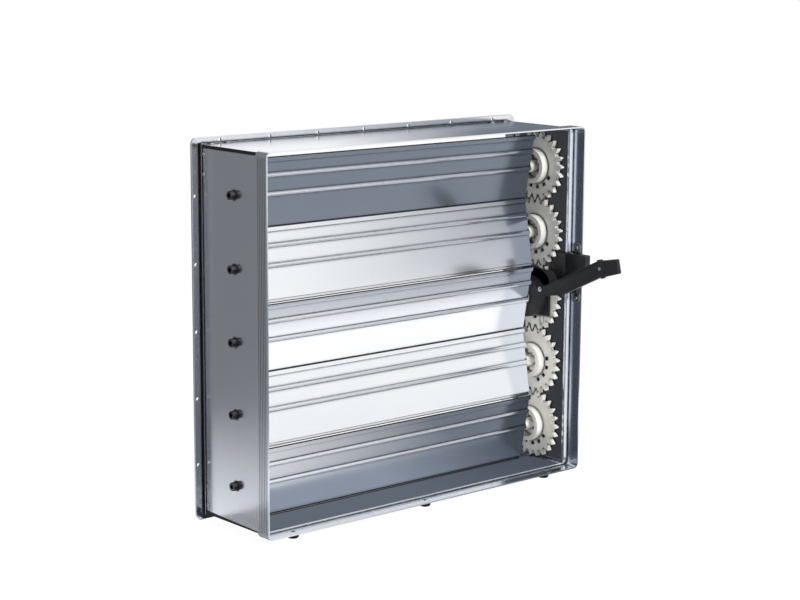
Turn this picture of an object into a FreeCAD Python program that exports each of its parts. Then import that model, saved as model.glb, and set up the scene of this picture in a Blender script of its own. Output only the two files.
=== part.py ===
import FreeCAD, Part
import math
import os

# Opposed-blade louver damper. Millimetres, +X along the blades, +Y to the rear, +Z up.
# The origin is the duct's axis in the plane of the rear flange's back face.

V = FreeCAD.Vector

# Duct opening and frame profile
INNER_WIDTH = 572.0
INNER_HEIGHT = 513.0
DEPTH = 162.0
WALL = 2.0
FLANGE_SIDE_MARGIN = 16.0
FLANGE_TOP_MARGIN = 11.5
FLANGE_THICK = 3.0
FLANGE_RADIUS = 10.0
FLANGE_EDGE_ROUND = 0.8
ROOT_GROOVE = 4.0
ROOT_BEAD_WIDTH = 1.5
ROOT_BEAD_HEIGHT = 1.4
LIP_SIDE_MARGIN = 9.5
LIP_TOP_MARGIN = 5.0
LIP_LENGTH = 24.0
LIP_RADIUS = 8.0
STEP_ROUND = 1.2
LIP_GROOVE_COUNT = 5
LIP_GROOVE_PITCH = 3.6
LIP_GROOVE_DEPTH = 0.4
LIP_GROOVE_WIDTH = 0.9

# Holes in the rear flange
FLANGE_HOLE_RADIUS = 2.6
FLANGE_HOLE_FROM_EDGE = 5.0
TOP_HOLE_PITCH = 85.0
TOP_HOLE_PAIRS = 3
SIDE_HOLE_PITCH = 94.0
SIDE_HOLE_PAIRS = 2

# Black sealing strips along the frame's outer joints
STRIP_THICK = 0.8
STRIP_WIDTH = 4.5

# Corner cleats and their rivets
CLEAT_LEG = 50.0
CLEAT_THICK = 2.0
CLEAT_WIDTH = 16.0
CLEAT_FROM_REAR = 4.0
RIVET_FROM_CORNER = (11.5, 38.5)
RIVET_RADIUS = 1.6
RIVET_HEAD_RADIUS = 3.2
RIVET_HEAD_HEIGHT = 1.4

# Blades
BLADE_COUNT = 5
BLADE_PITCH = 100.0
SHAFT_FROM_REAR = 80.0
SHAFT_ROW_DROP = 3.0
REST_ANGLE = 10.0
LEFT_GAP = 4.0
BLADE_END_FROM_RIGHT_WALL = 31.0
PLATE_HALF = 46.6
PLATE_OFFSET = 6.0
PLATE_THICK = 1.6
TUBE_RADIUS = 6.8
DRIVE_SQUARE = 8.4
DRIVE_CLEARANCE = 0.1
BEAD_FROM_AXIS = (26.0, -1.0)
BEAD_RADIUS = 3.1
BEAD_BORE = 1.5
BEAD_RISE = 1.5
HEAD_START = 45.0
HEAD_END = 50.5
HEAD_THICK = 2.6
HEAD_STANDOFF = 1.2
SEAL_REACH = 1.3
SEAL_THICK = 1.2
SEAL_ROOT = 2.2

# Pivots in the side profiles
JOURNAL_RADIUS = 5.0
RUNNING_CLEARANCE = 0.05
BUSH_WALL = 2.0
BUSH_FLANGE_RADIUS = 9.5
BUSH_FLANGE_THICK = 1.5
BUSH_PROUD = 0.8
AXIAL_CLEARANCE = 0.3
COLLAR_RADIUS = 8.0
SPIGOT_LENGTH = 20.0
SCREW_HEAD_RADIUS = 6.0
SCREW_HEAD_HEIGHT = 6.5
SCREW_WASHER_RADIUS = 6.6
SCREW_WASHER_THICK = 1.0
SCREW_SHANK_RADIUS = 2.5
SCREW_SHANK_LENGTH = 14.0
SOCKET_ACROSS_FLATS = 6.0
SOCKET_DEPTH = 3.5

# Gears
GEAR_TEETH = 23
GEAR_MODULE = BLADE_PITCH / GEAR_TEETH
PRESSURE_ANGLE = 20.0
TOOTH_BACKLASH = 0.5
ADDENDUM = 0.64
DEDENDUM = 1.4
FLANK_POINTS = 4
GEAR_THICK = 7.0
GEAR_FROM_WALL = 4.0
CUP_RADIUS = 26.0
CUP_WALL = 6.5
CUP_LENGTH = 13.0
BOSS_RADIUS = 9.0
RIB_THICK = 2.2
RIB_LENGTH = 7.0
RIB_COUNT = 4
POCKET_RADIUS = 31.5
POCKET_SIZE = 6.2
POCKET_COUNT = 4
POCKET_STEP = 26.0
POCKET_FIRST = (21.0, 42.0, 21.0, -2.0, 21.0)

# Lever on the middle gear
LEVER_ANGLE = 25.8
LEVER_DROP = 10.0
LEVER_THICK = 5.0
LEVER_HUB_WALL = 4.0
HUB_FIT = 0.1
LEVER_PLATE_RADIUS = 47.0
LEVER_PLATE_THICK = 3.0
LEVER_PLATE_HALF_WIDTH = 35.0
LEVER_PLATE_DROP = 27.0
LEVER_WIDTH = 24.0
LEVER_NECK_WIDTH = 10.5
LEVER_NECK_START = 26.0
LEVER_NECK_END = 80.0
LEVER_REACH = 164.0
LEVER_BORE_CLEARANCE = 1.0
LEVER_RIB_HEIGHT = 1.5
LEVER_RIB_WIDTH = 2.2
LEVER_SCREW_REACH = 36.0
LEVER_SCREW_ANGLES = (27.0, 207.0)
LEVER_SCREW_EAR = 5.6
LEVER_SCREW_RADIUS = 2.0
LEVER_SCREW_HEAD = 3.8
LEVER_SCREW_HEAD_HEIGHT = 2.2
GRIP_BEND = -12.0
GRIP_COLLAR_LENGTH = 6.5
GRIP_COLLAR_WIDTH = 28.5
GRIP_COLLAR_THICK = 8.4
GRIP_LENGTH = 33.0
GRIP_WIDTH = 25.5
GRIP_TIP_WIDTH = 21.5
GRIP_THICK = 6.4
GRIP_ROUND = 1.8
GRIP_TONGUE_WIDTH = 10.0
GRIP_TONGUE_LENGTH = 20.0
GRIP_TONGUE_THICK = 2.4
GRIP_PIN_RADIUS = 1.6
GRIP_PIN_HEAD = 2.4
GRIP_PIN_AHEAD = 3.5

# Console beside the lever, on the right profile's lip
CONSOLE_LOW = 11.0
CONSOLE_HIGH = 69.5
CONSOLE_REAR_REACH = 33.0
CONSOLE_REAR_ROUND = 20.0
CONSOLE_PLATE = 2.5
NOSE_REACH = 17.0
NOSE_TIP = 13.0
NOSE_ROOT = 40.0
NOSE_ROUND = 2.5
STRIP_PAST_CONSOLE = 16.0
CONSOLE_STRIP_THICK = 1.6
CONSOLE_STRIP_INSET = 2.0
CONSOLE_STRIP_ROUND = 5.0
CONSOLE_SCREW_FROM_END = 8.2
CONSOLE_SCREW_RADIUS = 2.0
CONSOLE_SCREW_HEAD = 4.0
CONSOLE_SCREW_HEAD_HEIGHT = 2.2

# Round feet under the bottom lip
FOOT_PLACES = (-245.0, -6.0, 233.0)
FOOT_RADIUS = 8.0
FOOT_STEM_RADIUS = 3.0
FOOT_FROM_FRONT = 12.0
FOOT_CHAMFER = 1.6

# Planes worked out from the sizes above
HALF_W = INNER_WIDTH / 2
HALF_H = INNER_HEIGHT / 2
FRONT_Y = -DEPTH
STEP_Y = FRONT_Y + LIP_LENGTH
SHAFT_Y = -SHAFT_FROM_REAR
BLADE_LEFT = -HALF_W + LEFT_GAP
BLADE_RIGHT = HALF_W - BLADE_END_FROM_RIGHT_WALL
GEAR_RIGHT = HALF_W - GEAR_FROM_WALL
GEAR_LEFT = GEAR_RIGHT - GEAR_THICK
CUP_LEFT = GEAR_LEFT - CUP_LENGTH
LEVER_LEFT = CUP_LEFT - LEVER_THICK
BUSH_RADIUS = JOURNAL_RADIUS + RUNNING_CLEARANCE + BUSH_WALL
BUSH_END = HALF_W + WALL + BUSH_PROUD
PLATE_FRONT = PLATE_OFFSET + PLATE_THICK / 2
PLATE_BACK = PLATE_OFFSET - PLATE_THICK / 2
STAND_Z = -(HALF_H + FLANGE_TOP_MARGIN)


def box(x0, x1, y0, y1, z0, z1):
    """A box between two corners."""
    return Part.makeBox(x1 - x0, y1 - y0, z1 - z0, V(x0, y0, z0))


def rod(radius, x0, x1, y=0.0, z=0.0):
    """A cylinder along X."""
    return Part.makeCylinder(radius, x1 - x0, V(x0, y, z), V(1, 0, 0))


def ring(outer, inner, x0, x1, y=0.0, z=0.0):
    """A tube along X."""
    return rod(outer, x0, x1, y, z).cut(rod(inner, x0, x1, y, z))


def prism_yz(points, x0, x1):
    """A prism along X over a closed outline of (y, z) points."""
    wire = Part.makePolygon([V(x0, y, z) for y, z in points + points[:1]])
    return Part.Face(wire).extrude(V(x1 - x0, 0, 0))


def duct_prism(side_margin, top_margin, y0, y1, radius=0.0):
    """A rectangular prism along Y that stands out round the duct's opening."""
    block = box(-HALF_W - side_margin, HALF_W + side_margin, y0, y1, -HALF_H - top_margin, HALF_H + top_margin)
    if radius > 0:
        corners = [edge for edge in block.Edges if is_along(edge, V(0, 1, 0))]
        block = block.makeFillet(radius, corners)
    return block


def is_along(edge, direction):
    """True for a straight edge that runs along a direction."""
    run = edge.Vertexes[-1].Point - edge.Vertexes[0].Point
    return run.Length > 1e-6 and abs(abs(run.normalize().dot(direction)) - 1) < 1e-6


def fuse_all(shapes):
    """One clean solid of all the shapes."""
    whole = shapes[0]
    for shape in shapes[1:]:
        whole = whole.fuse(shape)
    return whole.removeSplitter()


def shaft_heights():
    """Heights of the blade axes, top one first."""
    first = BLADE_PITCH * (BLADE_COUNT - 1) / 2 - SHAFT_ROW_DROP
    return [first - BLADE_PITCH * k for k in range(BLADE_COUNT)]


def turned(shape, angle, z):
    """A shape drawn upright on the X axis, turned about it and moved to its shaft."""
    done = shape.copy()
    done.rotate(V(0, 0, 0), V(1, 0, 0), angle)
    done.translate(V(0, SHAFT_Y, z))
    return done


def blade_tilt(k):
    """Turn of blade k at rest: neighbours open opposite ways."""
    return REST_ANGLE if k % 2 == 0 else -REST_ANGLE


def export(name, shape):
    """Write one node."""
    shape.exportStep(os.path.join("parts", name + ".step"))


def flange_hole_places():
    """Centres (x, z) of the rear flange's holes."""
    side_x = HALF_W + FLANGE_SIDE_MARGIN - FLANGE_HOLE_FROM_EDGE
    top_z = HALF_H + FLANGE_TOP_MARGIN - FLANGE_HOLE_FROM_EDGE
    places = []
    for n in range(-TOP_HOLE_PAIRS, TOP_HOLE_PAIRS + 1):
        places += [(n * TOP_HOLE_PITCH, top_z), (n * TOP_HOLE_PITCH, -top_z)]
    for n in range(-SIDE_HOLE_PAIRS, SIDE_HOLE_PAIRS + 1):
        places += [(side_x, n * SIDE_HOLE_PITCH), (-side_x, n * SIDE_HOLE_PITCH)]
    return places


def rivet_places():
    """Point and outward direction of each rivet in the frame's walls."""
    y = -(CLEAT_FROM_REAR + CLEAT_WIDTH / 2)
    places = []
    for sx in (-1, 1):
        for sz in (-1, 1):
            for reach in RIVET_FROM_CORNER:
                places.append((V(sx * (HALF_W + WALL), y, sz * (HALF_H - reach)), V(sx, 0, 0)))
                places.append((V(sx * (HALF_W - reach), y, sz * (HALF_H + WALL)), V(0, 0, sz)))
    return places


def rivet_holes():
    """Cutters for the rivets, through wall and cleat."""
    depth = WALL + CLEAT_THICK
    cutters = []
    for point, out in rivet_places():
        cutters.append(Part.makeCylinder(RIVET_RADIUS, depth + 2, point - out * (depth + 1), out))
    return cutters


def frame_ring():
    """The whole frame as one ring, before it is split at its mitres."""
    opening = duct_prism(0, 0, FRONT_Y - 1, 1)
    web = duct_prism(WALL, WALL, STEP_Y, 0)
    flange = duct_prism(FLANGE_SIDE_MARGIN, FLANGE_TOP_MARGIN, -FLANGE_THICK, 0, FLANGE_RADIUS)
    flange = flange.makeFillet(FLANGE_EDGE_ROUND, outline_edges(flange, -FLANGE_THICK))
    bead_y = -FLANGE_THICK - ROOT_GROOVE
    bead_out = WALL + ROOT_BEAD_HEIGHT
    bead = duct_prism(bead_out, bead_out, bead_y - ROOT_BEAD_WIDTH, bead_y)
    step = duct_prism(LIP_SIDE_MARGIN, LIP_TOP_MARGIN, STEP_Y - WALL, STEP_Y, LIP_RADIUS)
    lip = duct_prism(LIP_SIDE_MARGIN, LIP_TOP_MARGIN, FRONT_Y, STEP_Y, LIP_RADIUS)
    recess = duct_prism(LIP_SIDE_MARGIN - WALL, LIP_TOP_MARGIN - WALL, FRONT_Y - 1, STEP_Y - WALL, LIP_RADIUS - WALL)
    outside = fuse_all([web, flange, bead, step, lip.cut(recess)])
    whole = outside.cut(opening)
    whole = whole.makeFillet(STEP_ROUND, step_edges(whole))
    holes = [Part.makeCylinder(FLANGE_HOLE_RADIUS, FLANGE_THICK + 2, V(x, 1, z), V(0, -1, 0))
             for x, z in flange_hole_places()]
    return whole.cut(holes + rivet_holes() + pivot_holes() + lip_grooves() + lip_holes())


def outline_edges(shape, y):
    """Edges of a shape that lie in one plane across the duct."""
    return [edge for edge in shape.Edges if abs(edge.BoundBox.YMin - y) < 1e-3 and abs(edge.BoundBox.YMax - y) < 1e-3]


def step_edges(whole):
    """The inner corner of the opening where the wall turns out to the lip."""
    found = []
    for edge in outline_edges(whole, STEP_Y - WALL):
        at = edge.CenterOfMass
        if is_along(edge, V(0, 0, 1)) and abs(abs(at.x) - HALF_W) < 1e-3:
            found.append(edge)
        if is_along(edge, V(1, 0, 0)) and abs(abs(at.z) - HALF_H) < 1e-3:
            found.append(edge)
    return found


def pivot_holes():
    """Cutters for the bushes in both side walls."""
    cutters = []
    for z in shaft_heights():
        cutters.append(rod(BUSH_RADIUS, HALF_W - 1, HALF_W + WALL + 1, SHAFT_Y, z))
        cutters.append(rod(BUSH_RADIUS, -HALF_W - WALL - 1, -HALF_W + 1, SHAFT_Y, z))
    return cutters


def lip_grooves():
    """Fine grooves along the outside of both upright lips."""
    half = HALF_H + LIP_TOP_MARGIN - LIP_RADIUS
    outer = HALF_W + LIP_SIDE_MARGIN
    first = FRONT_Y + (LIP_LENGTH - LIP_GROOVE_PITCH * (LIP_GROOVE_COUNT - 1)) / 2
    cutters = []
    for n in range(LIP_GROOVE_COUNT):
        y = first + n * LIP_GROOVE_PITCH
        for sx in (-1, 1):
            x0, x1 = sorted((sx * (outer - LIP_GROOVE_DEPTH), sx * (outer + 1)))
            cutters.append(box(x0, x1, y - LIP_GROOVE_WIDTH / 2, y + LIP_GROOVE_WIDTH / 2, -half, half))
    return cutters


def lip_holes():
    """Cutters for the console's screws and the feet's stems."""
    lip_x = HALF_W + LIP_SIDE_MARGIN
    cutters = [rod(CONSOLE_SCREW_RADIUS, lip_x - WALL - 1, lip_x + 1, console_screw_y(), z) for z in console_screw_z()]
    lip_z = -(HALF_H + LIP_TOP_MARGIN)
    for x in FOOT_PLACES:
        cutters.append(Part.makeCylinder(FOOT_STEM_RADIUS, WALL + 2, V(x, FRONT_Y + FOOT_FROM_FRONT, lip_z - 1)))
    return cutters


def mitre_wedge(side):
    """Half of a quarter of the duct's outside, cut at 45 degrees through the corners."""
    far = FLANGE_SIDE_MARGIN + FLANGE_TOP_MARGIN
    x, z = HALF_W, HALF_H
    outline = {
        "right": [(0, 0), (x - z, 0), (x, z), (x + far, z + far), (x + far, -z - far), (x, -z), (x - z, 0)],
        "top": [(z - x, 0), (-x, z), (-x - far, z + far), (x + far, z + far), (x, z), (x - z, 0)],
    }
    flip = {"right": 1, "left": -1, "top": 1, "bottom": -1}[side]
    points = outline["right" if side in ("right", "left") else "top"]
    if side in ("right", "left"):
        points = points[1:-1]
        corners = [V(flip * px, FRONT_Y - 2, pz) for px, pz in points]
    else:
        corners = [V(px, FRONT_Y - 2, flip * pz) for px, pz in points]
    wire = Part.makePolygon(corners + corners[:1])
    return Part.Face(wire).extrude(V(0, DEPTH + 4, 0))


def seal_strip_upright(sx):
    """Black strip on a side wall: along both joints and down the flange's root."""
    wall = HALF_W + WALL
    x0, x1 = sorted((sx * wall, sx * (wall + STRIP_THICK)))
    high = HALF_H + WALL
    rear = -FLANGE_THICK
    root = rear - ROOT_GROOVE
    bead = root - ROOT_BEAD_WIDTH
    upright = box(x0, x1, root, rear, -high, high)
    upper = box(x0, x1, STEP_Y, bead, high - STRIP_WIDTH, high)
    lower = box(x0, x1, STEP_Y, bead, -high, -high + STRIP_WIDTH)
    return Part.makeCompound([upright, upper, lower])


def seal_strip_level(sz):
    """Black strip along the flange's root on the top or bottom wall."""
    wall = HALF_H + WALL
    z0, z1 = sorted((sz * wall, sz * (wall + STRIP_THICK)))
    half = HALF_W + WALL
    return box(-half, half, -FLANGE_THICK - ROOT_GROOVE, -FLANGE_THICK, z0, z1)


def corner_cleats():
    """Four angle cleats inside the corners."""
    y0 = -(CLEAT_FROM_REAR + CLEAT_WIDTH)
    y1 = -CLEAT_FROM_REAR
    holes = rivet_holes()
    cleats = []
    for sx in (-1, 1):
        for sz in (-1, 1):
            x = sorted((sx * HALF_W, sx * (HALF_W - CLEAT_LEG)))
            z = sorted((sz * HALF_H, sz * (HALF_H - CLEAT_LEG)))
            inner_x = sorted((sx * (HALF_W - CLEAT_THICK), sx * (HALF_W - CLEAT_LEG - 1)))
            inner_z = sorted((sz * (HALF_H - CLEAT_THICK), sz * (HALF_H - CLEAT_LEG - 1)))
            block = box(x[0], x[1], y0, y1, z[0], z[1])
            block = block.cut(box(inner_x[0], inner_x[1], y0 - 1, y1 + 1, inner_z[0], inner_z[1]))
            cleats.append(block.cut(holes))
    return Part.makeCompound(cleats)


def frame_rivets():
    """Rivets with tapered heads through the walls and cleats."""
    rivets = []
    for point, out in rivet_places():
        shank = Part.makeCylinder(RIVET_RADIUS, WALL + CLEAT_THICK, point - out * (WALL + CLEAT_THICK), out)
        head = Part.makeCone(RIVET_HEAD_RADIUS, RIVET_RADIUS, RIVET_HEAD_HEIGHT, point, out)
        rivets.append(shank.fuse(head).removeSplitter())
    return Part.makeCompound(rivets)


def bush(sx, z):
    """Flanged plain bush seated in a side wall."""
    bore = JOURNAL_RADIUS + RUNNING_CLEARANCE
    sleeve_ends = sorted((sx * HALF_W, sx * BUSH_END))
    flange_ends = sorted((sx * (HALF_W - BUSH_FLANGE_THICK), sx * HALF_W))
    sleeve = ring(BUSH_RADIUS, bore, sleeve_ends[0], sleeve_ends[1], SHAFT_Y, z)
    flange = ring(BUSH_FLANGE_RADIUS, bore, flange_ends[0], flange_ends[1], SHAFT_Y, z)
    return sleeve.fuse(flange).removeSplitter()


def blade_point(u, w):
    """A point of the blade's section: u up the blade, w towards its front face."""
    return (-w, u)


def blade_rect(u0, u1, w0, w1, x0, x1):
    """A bar along the blade with a rectangular section."""
    return prism_yz([blade_point(u, w) for u, w in ((u0, w0), (u1, w0), (u1, w1), (u0, w1))], x0, x1)


def seal_slot(sign):
    """Section limits (u0, u1, w0, w1) of the rubber lip in the upper (1) or lower (-1) edge."""
    middle = head_middle(sign)
    u = sorted((sign * (HEAD_END - SEAL_ROOT), sign * (HEAD_END + SEAL_REACH)))
    return u[0], u[1], middle - SEAL_THICK / 2, middle + SEAL_THICK / 2


def head_middle(sign):
    """Offset of an edge head's centre: the upper one stands forward, the lower one back."""
    if sign > 0:
        return PLATE_OFFSET + HEAD_STANDOFF + HEAD_THICK / 2
    return PLATE_OFFSET - HEAD_STANDOFF - HEAD_THICK / 2


def blade_extrusion():
    """The blade: plate, rear tube with a square bore, two beads and stepped edge heads."""
    x0, x1 = BLADE_LEFT, BLADE_RIGHT
    plate = blade_rect(-PLATE_HALF, PLATE_HALF, PLATE_BACK, PLATE_FRONT, x0, x1)
    pieces = [plate, rod(TUBE_RADIUS, x0, x1)]
    bores = []
    for u in BEAD_FROM_AXIS:
        y, z = blade_point(u, PLATE_OFFSET + BEAD_RISE)
        pieces.append(rod(BEAD_RADIUS, x0, x1, y, z))
        bores.append(rod(BEAD_BORE, x0, x1, y, z))
    for sign in (-1, 1):
        middle = head_middle(sign)
        u = sorted((sign * HEAD_START, sign * HEAD_END))
        pieces.append(blade_rect(u[0], u[1], middle - HEAD_THICK / 2, middle + HEAD_THICK / 2, x0, x1))
        link = sorted((sign * HEAD_START, sign * PLATE_HALF))
        reach = sorted((middle, PLATE_OFFSET))
        pieces.append(blade_rect(link[0], link[1], reach[0], reach[1], x0, x1))
        slot = seal_slot(sign)
        bores.append(blade_rect(slot[0], slot[1], slot[2], slot[3], x0, x1))
    half = DRIVE_SQUARE / 2
    bores.append(blade_rect(-half, half, -half, half, x0, x1))
    return fuse_all(pieces).cut(bores)


def blade_seals():
    """Two rubber lips, one in each edge head."""
    strips = []
    for sign in (-1, 1):
        slot = seal_slot(sign)
        strips.append(blade_rect(slot[0], slot[1], slot[2], slot[3], BLADE_LEFT, BLADE_RIGHT))
    return Part.makeCompound(strips)


def spigot(x0, x1):
    """Square drive spigot that fits the blade's tube."""
    half = DRIVE_SQUARE / 2 - DRIVE_CLEARANCE
    return blade_rect(-half, half, -half, half, x0, x1)


def left_journal():
    """Plug with collar and journal that carries the blade's left end."""
    collar_left = -HALF_W + BUSH_FLANGE_THICK + AXIAL_CLEARANCE
    collar_left = max(collar_left, -HALF_W)
    collar = rod(COLLAR_RADIUS, collar_left, BLADE_LEFT)
    journal = rod(JOURNAL_RADIUS, -BUSH_END, collar_left)
    plug = spigot(BLADE_LEFT, BLADE_LEFT + SPIGOT_LENGTH)
    whole = fuse_all([collar, journal, plug])
    return whole.cut(rod(SCREW_SHANK_RADIUS, -BUSH_END, -BUSH_END + SCREW_SHANK_LENGTH))


def hex_prism(across_flats, x0, x1):
    """A hexagonal prism along X."""
    corner = across_flats / math.sqrt(3)
    return prism_yz([(corner * math.cos(math.radians(60 * n)), corner * math.sin(math.radians(60 * n)))
                     for n in range(6)], x0, x1)


def shaft_screw():
    """Socket-head screw with its washer, on the outside of the left wall."""
    face = -BUSH_END
    head_in = face - SCREW_WASHER_THICK
    head_out = head_in - SCREW_HEAD_HEIGHT
    washer = rod(SCREW_WASHER_RADIUS, head_in, face)
    head = rod(SCREW_HEAD_RADIUS, head_out, head_in)
    shank = rod(SCREW_SHANK_RADIUS, face, face + SCREW_SHANK_LENGTH)
    whole = fuse_all([washer, head, shank])
    return whole.cut(hex_prism(SOCKET_ACROSS_FLATS, head_out - 1, head_out + SOCKET_DEPTH))


def involute(base, radius):
    """Polar angle of an involute at a radius."""
    tangent = math.sqrt(max((radius / base) ** 2 - 1, 0.0))
    return tangent - math.atan(tangent)


def gear_outline():
    """Points (y, z) of the toothed rim, with a tooth at the top."""
    pitch = GEAR_MODULE * GEAR_TEETH / 2
    base = pitch * math.cos(math.radians(PRESSURE_ANGLE))
    tip = pitch + ADDENDUM * GEAR_MODULE
    root = pitch - DEDENDUM * GEAR_MODULE
    half_tooth = (math.pi * GEAR_MODULE / 2 - TOOTH_BACKLASH) / (2 * pitch)
    flank = []
    for n in range(FLANK_POINTS):
        radius = base + (tip - base) * n / (FLANK_POINTS - 1)
        flank.append((radius, half_tooth + involute(base, pitch) - involute(base, radius)))
    points = []
    for tooth in range(GEAR_TEETH):
        middle = math.pi / 2 + 2 * math.pi * tooth / GEAR_TEETH
        side = [(root, flank[0][1])] + flank
        for radius, half in side:
            points.append((radius * math.cos(middle - half), radius * math.sin(middle - half)))
        for radius, half in reversed(side):
            points.append((radius * math.cos(middle + half), radius * math.sin(middle + half)))
    return points


def gear(pocket_first):
    """Gear with hub cup, drive boss, square spigot, journal and a row of square holes."""
    disc = prism_yz(gear_outline(), GEAR_LEFT, GEAR_RIGHT)
    collar_right = HALF_W - BUSH_FLANGE_THICK - AXIAL_CLEARANCE
    pieces = [disc, ring(CUP_RADIUS, CUP_RADIUS - CUP_WALL, CUP_LEFT, GEAR_LEFT),
              rod(BOSS_RADIUS, BLADE_RIGHT, GEAR_LEFT), spigot(BLADE_RIGHT - SPIGOT_LENGTH, BLADE_RIGHT),
              rod(COLLAR_RADIUS, GEAR_RIGHT, collar_right), rod(JOURNAL_RADIUS, collar_right, BUSH_END)]
    for n in range(RIB_COUNT):
        rib = box(GEAR_LEFT - RIB_LENGTH, GEAR_LEFT, -RIB_THICK / 2, RIB_THICK / 2, BOSS_RADIUS - 1, CUP_RADIUS - 1)
        rib.rotate(V(0, 0, 0), V(1, 0, 0), 45 + 360 * n / RIB_COUNT)
        pieces.append(rib)
    cutters = []
    half = POCKET_SIZE / 2
    for n in range(POCKET_COUNT):
        hole = box(GEAR_LEFT - 1, GEAR_RIGHT + 1, POCKET_RADIUS - half, POCKET_RADIUS + half, -half, half)
        hole.rotate(V(0, 0, 0), V(1, 0, 0), 180 + pocket_first + n * POCKET_STEP)
        cutters.append(hole)
    return fuse_all(pieces).cut(cutters)


def lever_place(along, across):
    """Point (y, z) from the middle shaft, measured along the arm's middle line and square to it."""
    angle = math.radians(LEVER_ANGLE)
    side = across - LEVER_DROP
    return (-along * math.cos(angle) + side * math.sin(angle), along * math.sin(angle) + side * math.cos(angle))


def lever_bar(corners, x0, x1):
    """A flat piece of the lever over (along, across) corners."""
    return prism_yz([lever_place(along, across) for along, across in corners], x0, x1)


def lever_screw_points():
    """Points (y, z) of the lever's screws, from the middle shaft."""
    return [(-LEVER_SCREW_REACH * math.cos(math.radians(a)), LEVER_SCREW_REACH * math.sin(math.radians(a)))
            for a in LEVER_SCREW_ANGLES]


def lever_plate():
    """The lever's plate on the gear's face: round above, straight at both sides and below."""
    x0, x1 = GEAR_LEFT - LEVER_PLATE_THICK, GEAR_LEFT
    disc = ring(LEVER_PLATE_RADIUS, CUP_RADIUS + HUB_FIT, x0, x1)
    half = LEVER_PLATE_HALF_WIDTH
    return disc.common(box(x0, x1, -half, half, -LEVER_PLATE_DROP, LEVER_PLATE_RADIUS))


def lever_arm():
    """Moulded lever: socket over the gear's cup, plate on the gear's face and a long ribbed arm."""
    x0, x1 = LEVER_LEFT, CUP_LEFT
    hub = CUP_RADIUS + HUB_FIT + LEVER_HUB_WALL
    side_half = LEVER_WIDTH / 2
    neck = side_half - LEVER_NECK_WIDTH
    half = GRIP_TONGUE_WIDTH / 2
    tongue_end = LEVER_REACH + GRIP_TONGUE_LENGTH
    pieces = [rod(hub, x0, GEAR_LEFT), lever_plate()]
    pieces.append(lever_bar([(0, side_half), (LEVER_REACH, side_half), (LEVER_REACH, -side_half),
                             (LEVER_NECK_END, -side_half), (LEVER_NECK_START, neck), (0, neck)], x0, x1))
    middle = (x0 + x1) / 2
    pieces.append(lever_bar([(LEVER_REACH - 1, half), (tongue_end, half), (tongue_end, -half),
                             (LEVER_REACH - 1, -half)], middle - GRIP_TONGUE_THICK / 2,
                            middle + GRIP_TONGUE_THICK / 2))
    for side in (-1, 1):
        pieces.append(lever_bar([(LEVER_NECK_END, side * side_half), (LEVER_REACH, side * side_half),
                                 (LEVER_REACH, side * (side_half - LEVER_RIB_WIDTH)),
                                 (LEVER_NECK_END, side * (side_half - LEVER_RIB_WIDTH))], x0 - LEVER_RIB_HEIGHT, x0))
    for y, z in lever_screw_points():
        pieces.append(rod(LEVER_SCREW_EAR, x0, GEAR_LEFT, y, z))
    cutters = [rod(BOSS_RADIUS + LEVER_BORE_CLEARANCE, x0 - 1, x1), rod(CUP_RADIUS + HUB_FIT, x1, GEAR_LEFT)]
    cutters += [rod(LEVER_SCREW_RADIUS, x0 - 1, GEAR_LEFT + 1, y, z) for y, z in lever_screw_points()]
    return fuse_all(pieces).cut(cutters + [grip_pin_hole()])


def grip_pin_hole():
    """Cutter for the pin through the collar and the tongue."""
    y, z = lever_place(LEVER_REACH + GRIP_PIN_AHEAD, 0)
    return rod(GRIP_PIN_RADIUS, LEVER_LEFT - GRIP_COLLAR_THICK, CUP_LEFT + GRIP_COLLAR_THICK, y, z)


def grip_block(length, width, tip_width, thick):
    """A rounded, tapered block along -Y, centred on the arm's thickness."""
    middle = (LEVER_LEFT + CUP_LEFT) / 2
    block = prism_yz([(0, width / 2), (-length, tip_width / 2), (-length, -tip_width / 2), (0, -width / 2)],
                     middle - thick / 2, middle + thick / 2)
    edges = [edge for edge in block.Edges if edge.BoundBox.XLength < 1e-3 and edge.BoundBox.YLength > 1e-3]
    edges += outline_edges(block, -length)
    return block.makeFillet(GRIP_ROUND, edges)


def lever_grip():
    """Hand grip with a collar, pushed over the arm's tongue."""
    collar = grip_block(GRIP_COLLAR_LENGTH, GRIP_COLLAR_WIDTH, GRIP_COLLAR_WIDTH, GRIP_COLLAR_THICK)
    handle = grip_block(GRIP_COLLAR_LENGTH + GRIP_LENGTH, GRIP_WIDTH, GRIP_TIP_WIDTH, GRIP_THICK)
    grip = collar.fuse(handle).removeSplitter()
    grip.rotate(V(0, 0, 0), V(1, 0, 0), -(LEVER_ANGLE + GRIP_BEND))
    y, z = lever_place(LEVER_REACH, 0)
    grip.translate(V(0, y, z))
    half = GRIP_TONGUE_WIDTH / 2
    end = LEVER_REACH + GRIP_TONGUE_LENGTH
    far = 2 * LEVER_WIDTH
    middle = (LEVER_LEFT + CUP_LEFT) / 2
    slot = lever_bar([(LEVER_REACH, half), (end, half), (end, -half), (LEVER_REACH, -half)],
                     middle - GRIP_TONGUE_THICK / 2, middle + GRIP_TONGUE_THICK / 2)
    behind = lever_bar([(0, far), (LEVER_REACH, far), (LEVER_REACH, -far), (0, -far)],
                       LEVER_LEFT - GRIP_COLLAR_THICK, CUP_LEFT + GRIP_COLLAR_THICK)
    return grip.cut([slot, behind, grip_pin_hole()])


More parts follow.
